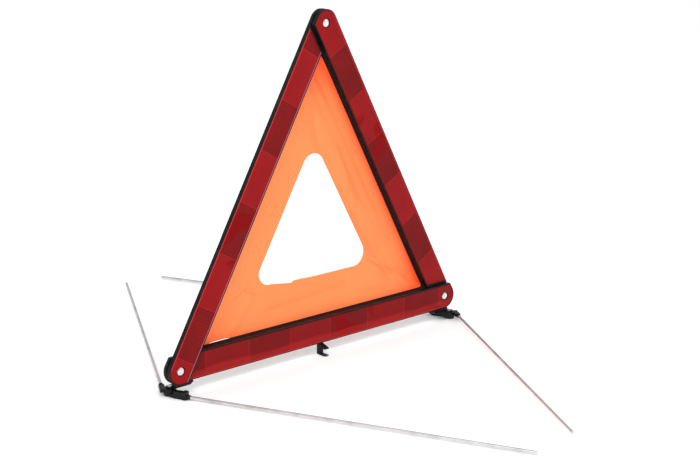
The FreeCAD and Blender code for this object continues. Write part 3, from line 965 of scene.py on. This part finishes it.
@dataclass
class ClothPanel:
    """The fabric triangle with its rounded opening, and the black binding round it."""

    layout: Layout
    cloth: bpy.types.Material
    tape: bpy.types.Material
    inner: float = 15.6 * MM
    behind: float = 7.0 * MM
    back: float = 3.0 * MM
    opening: float = 187.7 * MM
    rounding: float = 16.4 * MM
    drop: float = 1.7 * MM
    aside: float = -4.0 * MM
    bulge: float = 3.0 * MM
    rise: float = 1.6
    thickness: float = 0.45 * MM
    tape_thickness: float = 0.3 * MM
    wall_gap: float = 0.4 * MM
    wall_corner: float = 3.0 * MM
    slack: tuple[float, float, float] = (-143.0 * MM, 17.0 * MM, 2.0 * MM)
    around: int = 600
    across: int = 60
    side_red: tuple[tuple[Side, float, float], ...] = (
        # an arm, the share of painted shade beside it and that share's reach in millimetres
        (Side.RIGHT, 0.75, 5.0),
        (Side.RIGHT, 0.32, 20.0),
        (Side.BOTTOM, 0.5, 5.0),
        (Side.LEFT, 0.3, 4.0),
    )
    corner_red: tuple[tuple[float, ...], ...] = (
        # a corner's direction in degrees, its share of painted shade and its reach in millimetres
        (-120.0, 0.45, 50.0),
        (120.0, 0.55, 42.0),
        (0.0, 0.6, 48.0),
    )
    kink: tuple[tuple[float, float], ...] = (
        # place along the opening's lower edge and its rise there, in millimetres
        (-100.0, 3.2),
        (-62.0, 3.0),
        (-33.0, -1.2),
        (-29.0, 0.9),
        (-18.0, 0.8),
        (0.0, 0.0),
    )
    streaks: tuple[tuple[float, float, float], ...] = (
        # distance from the right arm and half width in millimetres, and share of painted shade
        (19.0, 2.6, 0.3),
        (31.0, 4.0, 0.18),
        (52.0, 6.0, 0.12),
        (-4.0, 5.0, 0.3),
    )
    creases: tuple[tuple[float, ...], ...] = field(
        default=(
            # start x, z, end x, z, half width and height, all in millimetres
            (86.0, -50.0, 128.0, -76.0, 2.2, 0.9),
            (128.0, -76.0, 140.0, -70.0, 1.8, 0.7),
            (120.0, -66.0, 150.0, -92.0, 2.6, -0.8),
            (60.0, 14.0, 120.0, -76.0, 7.0, 2.0),
            (30.0, 90.0, 62.0, 20.0, 5.0, -1.4),
            (70.0, -84.0, 120.0, -90.0, 3.0, -0.7),
            (-62.0, 8.0, -48.0, 2.0, 1.6, 0.7),
            (-70.0, 30.0, -44.0, 26.0, 2.4, 0.5),
            (-104.0, -52.0, -88.0, -60.0, 1.8, 0.8),
            (-90.0, -60.0, -78.0, -52.0, 1.6, -0.5),
            (-70.0, -86.0, 40.0, -78.0, 6.0, 1.2),
            (-128.0, -98.0, -96.0, -60.0, 5.0, -1.2),
            (-6.0, 150.0, 4.0, 96.0, 5.0, 0.9),
        )
    )

    @property
    def inradius(self) -> float:
        """Distance from the triangle's middle to the arms' inner walls."""
        return self.layout.length * math.sqrt(3) / 6 - self.inner

    @staticmethod
    def rounded(inradius: float, corner: float, angle: np.ndarray) -> np.ndarray:
        """Distances from the middle to a triangle with rounded corners.

        The triangle is the set of points that lie within a corner's radius of a smaller
        triangle. In each third the distance is the side's when the foot falls on the straight
        stretch, and otherwise the far crossing with the corner's circle.

        Args:
            inradius: Distance from the middle to each side.
            corner: Radius of the corners.
            angle: Directions, from straight down, in radians.

        Returns:
            The distance in each direction.
        """
        third = 2 * np.pi / 3
        off = (angle + third / 2) % third - third / 2
        side = inradius / np.cos(off)
        reach = 2 * (inradius - corner)
        to_corner = third / 2 - np.abs(off)
        across = reach * np.sin(to_corner)
        inside = np.maximum(corner**2 - across**2, 0.0)
        round_ = reach * np.cos(to_corner) + np.sqrt(inside)
        straight = np.abs(inradius * np.tan(off)) <= (inradius - corner) * math.sqrt(3)
        return np.where(straight, side, round_)

    def level(
        self, x: np.ndarray, z: np.ndarray, behind: float
    ) -> tuple[np.ndarray, dict[Side, np.ndarray]]:
        """How deep a sheet lies that follows all three arms.

        An arm slopes from its front rivet to its rear one. The depth is the mean of the three
        arms' own depths, each weighted by one over the squared distance to that side.

        Args:
            x: Places along the bottom arm, from the middle.
            z: Heights, from the middle.
            behind: The sheet's distance behind an arm's mid plane.

        Returns:
            The depth along Y, and the distance to each arm's inner wall.
        """
        total, weights, gaps = np.zeros_like(x), np.zeros_like(x), {}
        for side in Side:
            turn = math.radians(side.value)
            along = x * math.cos(turn) - z * math.sin(turn)
            up = x * math.sin(turn) + z * math.cos(turn)
            gap = up + self.inradius
            depth = behind - self.layout.offset * along / self.layout.length
            weight = 1 / (np.maximum(gap, 0.0) + 2 * MM) ** 2
            total += weight * depth
            weights += weight
            gaps[side] = gap
        return total / weights, gaps

    def relief(self, x: np.ndarray, z: np.ndarray) -> np.ndarray:
        """Soft creases: each is a ridge whose height falls off as a bell about a short line.

        Args:
            x: Places along the bottom arm, from the middle.
            z: Heights, from the middle.

        Returns:
            The rise along Y.
        """
        height = np.zeros_like(x)
        for x0, z0, x1, z1, width, rise in self.creases:
            start = np.array([x0, z0]) * MM
            step = np.array([x1 - x0, z1 - z0]) * MM
            share = ((x - start[0]) * step[0] + (z - start[1]) * step[1]) / (step @ step)
            share = np.clip(share, 0, 1)
            gap = np.hypot(x - start[0] - share * step[0], z - start[1] - share * step[1])
            height += self.rise * rise * MM * np.exp(-((gap / (width * MM)) ** 2))
        return height

    def redness(
        self, x: np.ndarray, z: np.ndarray, gaps: dict[Side, np.ndarray]
    ) -> np.ndarray:
        """How much painted shade reddens the cloth.

        The painted shade falls off as an exponential from each side and as a bell from each corner
        and about each shaded streak along the right arm, and it is higher on one flank of each
        crease.

        Args:
            x: Places along the bottom arm, from the middle.
            z: Heights, from the middle.
            gaps: The distance to each arm's inner wall.

        Returns:
            The share of the border's colour.
        """
        red = np.zeros_like(x)
        for side, share, reach in self.side_red:
            red += share * np.exp(-np.maximum(gaps[side], 0.0) / (reach * MM))
        right = np.maximum(gaps[Side.RIGHT], 0.0)
        for gap, width, share in self.streaks:
            fade = np.clip(0.5 + z / (260 * MM) + 0.35 * np.sin(z / (23 * MM)), 0.15, 1)
            red += share * fade * np.exp(-(((right - gap * MM) / (width * MM)) ** 2))
        far = 2 * self.inradius
        for degrees, share, size in self.corner_red:
            turn = math.radians(degrees)
            corner_x, corner_z = far * math.sin(turn), far * math.cos(turn)
            gap = np.hypot(x - corner_x, z - corner_z)
            red += share * np.exp(-((gap / (size * MM)) ** 2))
        # painted shade on one flank of each crease, from the relief's slope
        slope = (self.relief(x + 0.7 * MM, z + 0.7 * MM) - self.relief(x, z)) / MM
        return np.clip(red + np.clip(slope * 0.5, -0.12, 0.3), 0.0, 1.0)

    def ring(self, reach: np.ndarray, angle: np.ndarray) -> tuple[np.ndarray, np.ndarray]:
        """Places in the triangle's plane at a distance in each direction from its middle."""
        return reach * np.sin(angle), -reach * np.cos(angle)

    def close(
        self, name: str, points: np.ndarray, columns: int, material: bpy.types.Material
    ) -> bpy.types.Object:
        """Join a grid whose rows go once round the middle, and store its flat place as UV.

        Args:
            name: The piece's name.
            points: The grid's points, row by row.
            columns: Points in a row.
            material: The finish.

        Returns:
            The new piece.
        """
        rows = len(points) // columns
        index = np.arange(rows * columns).reshape(rows, columns)
        after = np.roll(index, -1, axis=0)
        faces = np.stack([index[:, :-1], after[:, :-1], after[:, 1:], index[:, 1:]], -1)
        piece = new_piece(name, points, faces.reshape(-1, 4).tolist(), material)
        mesh = piece.data
        corners = np.empty(len(mesh.loops), dtype=np.int32)
        mesh.loops.foreach_get("vertex_index", corners)
        layer = mesh.uv_layers.new(name="UVMap")
        layer.data.foreach_set("uv", points[corners][:, [0, 2]].astype(np.float32).ravel())
        return piece

    def fold_down(self, piece: bpy.types.Object, thickness: float) -> None:
        """Give a sheet its thickness.

        Args:
            piece: The sheet.
            thickness: Its thickness.
        """
        solid = piece.modifiers.new("thickness", "SOLIDIFY")
        solid.thickness = thickness
        solid.offset = 0.0
        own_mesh(piece)

    def sheet(self) -> None:
        """The cloth: a grid of directions and of shares from the opening to the outer edge.

        A point lies between the opening and the edge by its share. Near the walls and the
        opening the creases fade, and away from the walls the cloth bows back as a sine. The
        lower edge is slack on one stretch. Rounded corners take three roots of three, less pi,
        times their radius squared from the opening's area.
        """
        angle = np.linspace(0, 2 * np.pi, self.around, endpoint=False)[:, None]
        share = np.linspace(0, 1, self.across)[None, :]
        hole = self.rounded(self.opening * math.sqrt(3) / 6, self.rounding, angle)
        edge = self.rounded(self.inradius - self.wall_gap, self.wall_corner, angle)
        x0, z0 = self.ring(hole, angle)
        x1, z1 = self.ring(edge, angle)
        places, lifts = np.array(self.kink).T * MM
        kink = np.interp(x0, places, lifts) * (z0 < -40 * MM)
        x0, z0 = x0 + self.aside, z0 - self.drop + kink
        x, z = x0 + (x1 - x0) * share, z0 + (z1 - z0) * share
        spot, width, rise = self.slack
        lift = np.exp(-(((x - spot) / width) ** 4)) * np.clip(share * 8 - 7, 0, 1)
        z = z + lift * rise * (np.cos(angle) > 0.5)
        depth, gaps = self.level(x, z, self.behind)
        gap = np.maximum(np.minimum.reduce(list(gaps.values())), 0.0)
        calm = np.clip(gap / (14 * MM), 0, 1) * np.clip(share * 3, 0, 1)
        bow = self.bulge * np.sin(np.clip(gap / (50 * MM), 0, 1) * np.pi / 2)
        y = depth + self.relief(x, z) * calm + bow
        points = np.stack([x, y, z + self.layout.middle], -1).reshape(-1, 3)
        piece = self.close("fabric_sheet", points, self.across, self.cloth)
        # the painted shade's share, stored on the sheet's points
        tone_and_shade = piece.data.attributes.new("nearness", "FLOAT", "POINT")
        tone_and_shade.data.foreach_set("value", self.redness(x, z, gaps).astype(np.float32).ravel())
        add(piece, "base")
        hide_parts("fabric_panel")
        self.fold_down(piece, self.thickness)

    def binding(self) -> None:
        """The black tape from the arms' backs to the cloth's edge.

        Its section is five points: under the arm's back, at the wall's edge, half way back, at
        the cloth's depth, and the end of a short lip over the cloth. Each is a distance outside
        the wall in millimetres and a depth behind the arm's mid plane in metres.
        """
        angle = np.linspace(0, 2 * np.pi, self.around, endpoint=False)[:, None]
        steps = (
            (4.6, self.back),
            (-0.15, self.back),
            (-0.35, self.behind * 0.5 + self.back * 0.5),
            (-0.45, self.behind - 0.35 * MM),
            (-1.5, self.behind - 0.45 * MM),
        )
        columns = []
        for out, behind in steps:
            reach = self.rounded(self.inradius + out * MM, self.wall_corner, angle)
            x, z = self.ring(reach, angle)
            depth, _ = self.level(x, z, behind)
            columns.append(np.stack([x, depth, z + self.layout.middle], -1))
        points = np.concatenate(columns, 1)
        piece = self.close("fabric_binding", points.reshape(-1, 3), len(columns), self.tape)
        add(piece, "base")
        self.fold_down(piece, self.tape_thickness)

    def build(self) -> None:
        """Make the cloth and its binding."""
        self.sheet()
        self.binding()


# ------------------------------------------------------------------ the feet


class Foot(Enum):
    """The two feet, with each one's turn about Z in degrees."""

    LEFT = 0.0
    RIGHT = 180.0

    @property
    def word(self) -> str:
        """The name that the foot's nodes start with."""
        return self.name.lower()


@dataclass
class StandFoot:
    """A foot: its bracket, its pin, and two legs with their holders."""

    foot: Foot
    place: tuple[float, float]
    plastic: bpy.types.Material
    steel: bpy.types.Material
    lower_angle: float = -64.3
    upper_angle: float = 60.2
    lower_collar: tuple[float, float, float] = (23.0 * MM, -4.5 * MM, 3.2 * MM)
    upper_collar: tuple[float, float, float] = (12.6 * MM, 8.0 * MM, 6.9 * MM)
    pin_radius: float = 1.68 * MM
    pin_head: float = 2.75 * MM
    pin_seat: float = 11.0 * MM
    pin_rim: float = 0.15 * MM
    pin_dome: float = 0.85 * MM
    pin_base: tuple[tuple[float, float], ...] = (
        # radius and height of the rounded base, in millimetres
        (5.7, 0.0),
        (6.2, 0.12),
        (6.45, 0.35),
        (6.5, 0.9),
    )
    collar_profile: tuple[tuple[float, float], ...] = (
        # radius and place along the wire, in millimetres
        (1.85, 0.0),
        (2.85, 0.0),
        (2.85, 1.2),
        (2.5, 2.0),
        (2.5, 3.6),
        (2.2, 4.2),
        (1.85, 4.4),
    )

    @property
    def side(self) -> str:
        """The word that the foot's nodes start with."""
        return self.foot.word

    @property
    def turn(self) -> float:
        """The foot's turn about Z, in degrees."""
        return self.foot.value

    def pin(self) -> None:
        """The pin with a rounded base to stand on and a domed head.

        The dome is a quarter of an oval: radius times cosine, height times sine.
        """
        base = np.array(self.pin_base) * MM
        foot = np.array([(TIP, 0.0)])
        shank = np.array(
            [
                (self.pin_radius, base[-1, 1]),
                (self.pin_radius, self.pin_seat),
                (self.pin_head, self.pin_seat),
            ]
        )
        turn = np.radians(np.linspace(0, 86, 10))
        rise = self.pin_seat + self.pin_rim + self.pin_dome * np.sin(turn)
        dome = np.stack([self.pin_head * np.cos(turn), rise], 1)
        points, faces = turned(np.concatenate([foot, base, shank, dome]))
        name = f"{self.side}_foot_pin_domed"
        place = upright_turn(self.place, self.turn)
        piece = new_piece(name, moved(points, place), faces, self.steel)
        add(piece, "base")
        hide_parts(f"{self.side}_foot_pin")

    def collar(self, leg: str, angle: float, spot: tuple[float, float, float]) -> None:
        """A short tapered collar round the wire where it leaves its holder.

        Args:
            leg: The leg's body.
            angle: The leg's direction at rest, in degrees.
            spot: Its start along the leg, the wire's distance beside the pin and its height.
        """
        points, faces = turned(np.array(self.collar_profile) * MM, 28)
        lie = Matrix.Rotation(math.pi / 2, 4, "Y")
        place = upright_turn(self.place, self.turn + angle) @ Matrix.Translation(spot) @ lie
        piece = new_piece(f"{leg}_collar", moved(points, place), faces, self.plastic)
        add(piece, leg)

    def build(self) -> None:
        """Dress the foot's nodes and add its fine parts."""
        lower, upper = ("front", "rear") if self.foot is Foot.LEFT else ("rear", "front")
        dress(f"{self.side}_foot_bracket", self.plastic)
        for end in (lower, upper):
            dress(f"{self.side}_{end}_leg_rod", self.steel)
            dress(f"{self.side}_{end}_leg_holder", self.plastic)
        self.pin()
        self.collar(f"{self.side}_{lower}_leg", self.lower_angle, self.lower_collar)
        self.collar(f"{self.side}_{upper}_leg", self.upper_angle, self.upper_collar)


# ------------------------------------------------------------------ studio


@dataclass(frozen=True)
class Studio:
    """The camera, the lights and the pale floor."""

    spot: tuple[float, float, float] = (-1.14361, -1.24917, 0.60532)
    heading: float = 0.760903
    pitch: float = 0.264341
    roll: float = 0.014763
    lens: float = 78.402
    sensor: float = 36.0
    lights: tuple[tuple[str, tuple[float, float, float], float, float], ...] = (
        # name, place, length of the side and power in watts
        ("key", (-1.6, -1.3, 2.2), 1.6, 34.0),
        ("fill", (1.8, -1.8, 1.4), 2.0, 12.0),
    )
    aim: tuple[float, float, float] = (0.0, 0.0, 0.15)
    glossy_dimming: float = 0.45
    floor_reach: float = 40.0

    def camera(self) -> None:
        """Set the camera: its heading is from +Y towards +X and its pitch is downwards."""
        s, c = math.sin(self.heading), math.cos(self.heading)
        level, drop = math.cos(self.pitch), -math.sin(self.pitch)
        ahead = np.array([s * level, c * level, drop])
        right = np.array([c, -s, 0.0])
        up = np.cross(right, ahead)
        tilt_c, tilt_s = math.cos(self.roll), math.sin(self.roll)
        grid = np.eye(4)
        grid[:3, 0] = tilt_c * right + tilt_s * up
        grid[:3, 1] = -tilt_s * right + tilt_c * up
        grid[:3, 2] = -ahead
        grid[:3, 3] = self.spot
        data = bpy.data.cameras.new("view")
        data.lens, data.sensor_width = self.lens, self.sensor
        data.clip_start, data.clip_end = 0.05, 200.0
        camera = bpy.data.objects.new("view", data)
        bpy.context.scene.collection.objects.link(camera)
        camera.matrix_world = Matrix(grid.tolist())
        bpy.context.scene.camera = camera

    def softbox(
        self, name: str, spot: tuple[float, float, float], size: float, power: float
    ) -> None:
        """A square area light that points at the object.

        Args:
            name: The light's name.
            spot: Where it stands.
            size: The length of its side.
            power: Its power in watts.
        """
        data = bpy.data.lights.new(name, "AREA")
        data.size, data.energy = size, power
        light = bpy.data.objects.new(name, data)
        bpy.context.scene.collection.objects.link(light)
        turn = (Vector(self.aim) - Vector(spot)).to_track_quat("-Z", "Y").to_matrix().to_4x4()
        light.matrix_world = Matrix.Translation(spot) @ turn

    def surroundings(self) -> None:
        """A plain white world, dimmer where the object mirrors it."""
        world = bpy.data.worlds.new("studio")
        bpy.context.scene.world = world
        world.use_nodes = True
        tree = world.node_tree
        tree.nodes["Background"].inputs[0].default_value = (1.0, 1.0, 1.0, 1.0)
        path = tree.nodes.new("ShaderNodeLightPath")
        dim = tree.nodes.new("ShaderNodeMath")
        dim.operation = "MULTIPLY_ADD"
        tree.links.new(path.outputs["Is Glossy Ray"], dim.inputs[0])
        dim.inputs[1].default_value = -self.glossy_dimming
        dim.inputs[2].default_value = 1.0
        tree.links.new(dim.outputs[0], tree.nodes["Background"].inputs[1])

    def build(self) -> None:
        """Make the whole studio."""
        self.camera()
        for name, spot, size, power in self.lights:
            self.softbox(name, spot, size, power)
        self.surroundings()
        bpy.context.scene.view_settings.view_transform = "Standard"
        size = self.floor_reach
        corners = np.array([(-size, -size, 0), (size, -size, 0), (size, size, 0), (-size, size, 0)])
        floor = new_piece("floor", corners, [[0, 1, 2, 3]], PaleFloor().material("floor"))


# ------------------------------------------------------------------ making


def main() -> None:
    """Build every sub-assembly in order."""
    logging.basicConfig(level=logging.INFO, format="%(message)s")
    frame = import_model()
    layout = Layout.read(frame["joints"])
    plastic = MouldedPlastic().material("black_moulding")
    steel = BrightSteel().material("bright_steel")
    drawn = BrightSteel((0.72, 0.73, 0.75), (0.54, 0.54, 0.55), roughness=0.34, metal=0.88)
    wire = drawn.material("drawn_wire")

    Studio().build()
    lenses = {
        Side.BOTTOM: PrismLens(
            bright=(0.27, 0.009, 0.010),
            dark=(0.135, 0.006, 0.007),
            lip=(0.03, 0.008, 0.01),
            slant=-36.0,
            # painted glints along the bottom lens's lower border
            sparkle=0.4,
        ),
        # the left lens's inner edge carries a pale painted highlight
        Side.LEFT: PrismLens(dark=(0.125, 0.006, 0.007), lip=(0.33, 0.19, 0.25)),
        Side.RIGHT: PrismLens(first_seam=37.4 * MM, block=62.2 * MM, lip=(0.2, 0.01, 0.01)),
    }
    for side in Side:
        body = "base" if side is Side.BOTTOM else f"{side.word}_arm"
        ReflectorArm(side, body, layout, plastic, lenses[side]).build()

    joints = {joint["name"]: joint for joint in frame["joints"]}
    left, apex = joints["left_arm_fold"], joints["right_arm_fold"]
    right_seat = (layout.length / 2, left["pos_m"][1], layout.height)
    CornerRivet("left_corner_rivet", "base", left["pos_m"], left["axis"], steel).build()
    turned_axis = tuple(-value for value in apex["axis"])
    CornerRivet("apex_rivet", "left_arm", apex["pos_m"], turned_axis, steel).build()
    CornerRivet(
        "right_corner_stud", "base", right_seat, (0.0, 1.0, 0.0), steel, tail_gap=0.7 * MM
    ).build()
    for node in ("left_corner_washer", "apex_washer", "middle_leg_clip"):
        dress(node, plastic)

    tape = WovenTape().material("black_tape")
    ClothPanel(layout, CoatedCloth().material("orange_cloth"), tape).build()
    for foot in Foot:
        spot = joints[f"{foot.word}_front_leg_turn"]["pos_m"]
        StandFoot(foot, (spot[0], spot[1]), plastic, wire).build()


if __name__ == "__main__":
    main()
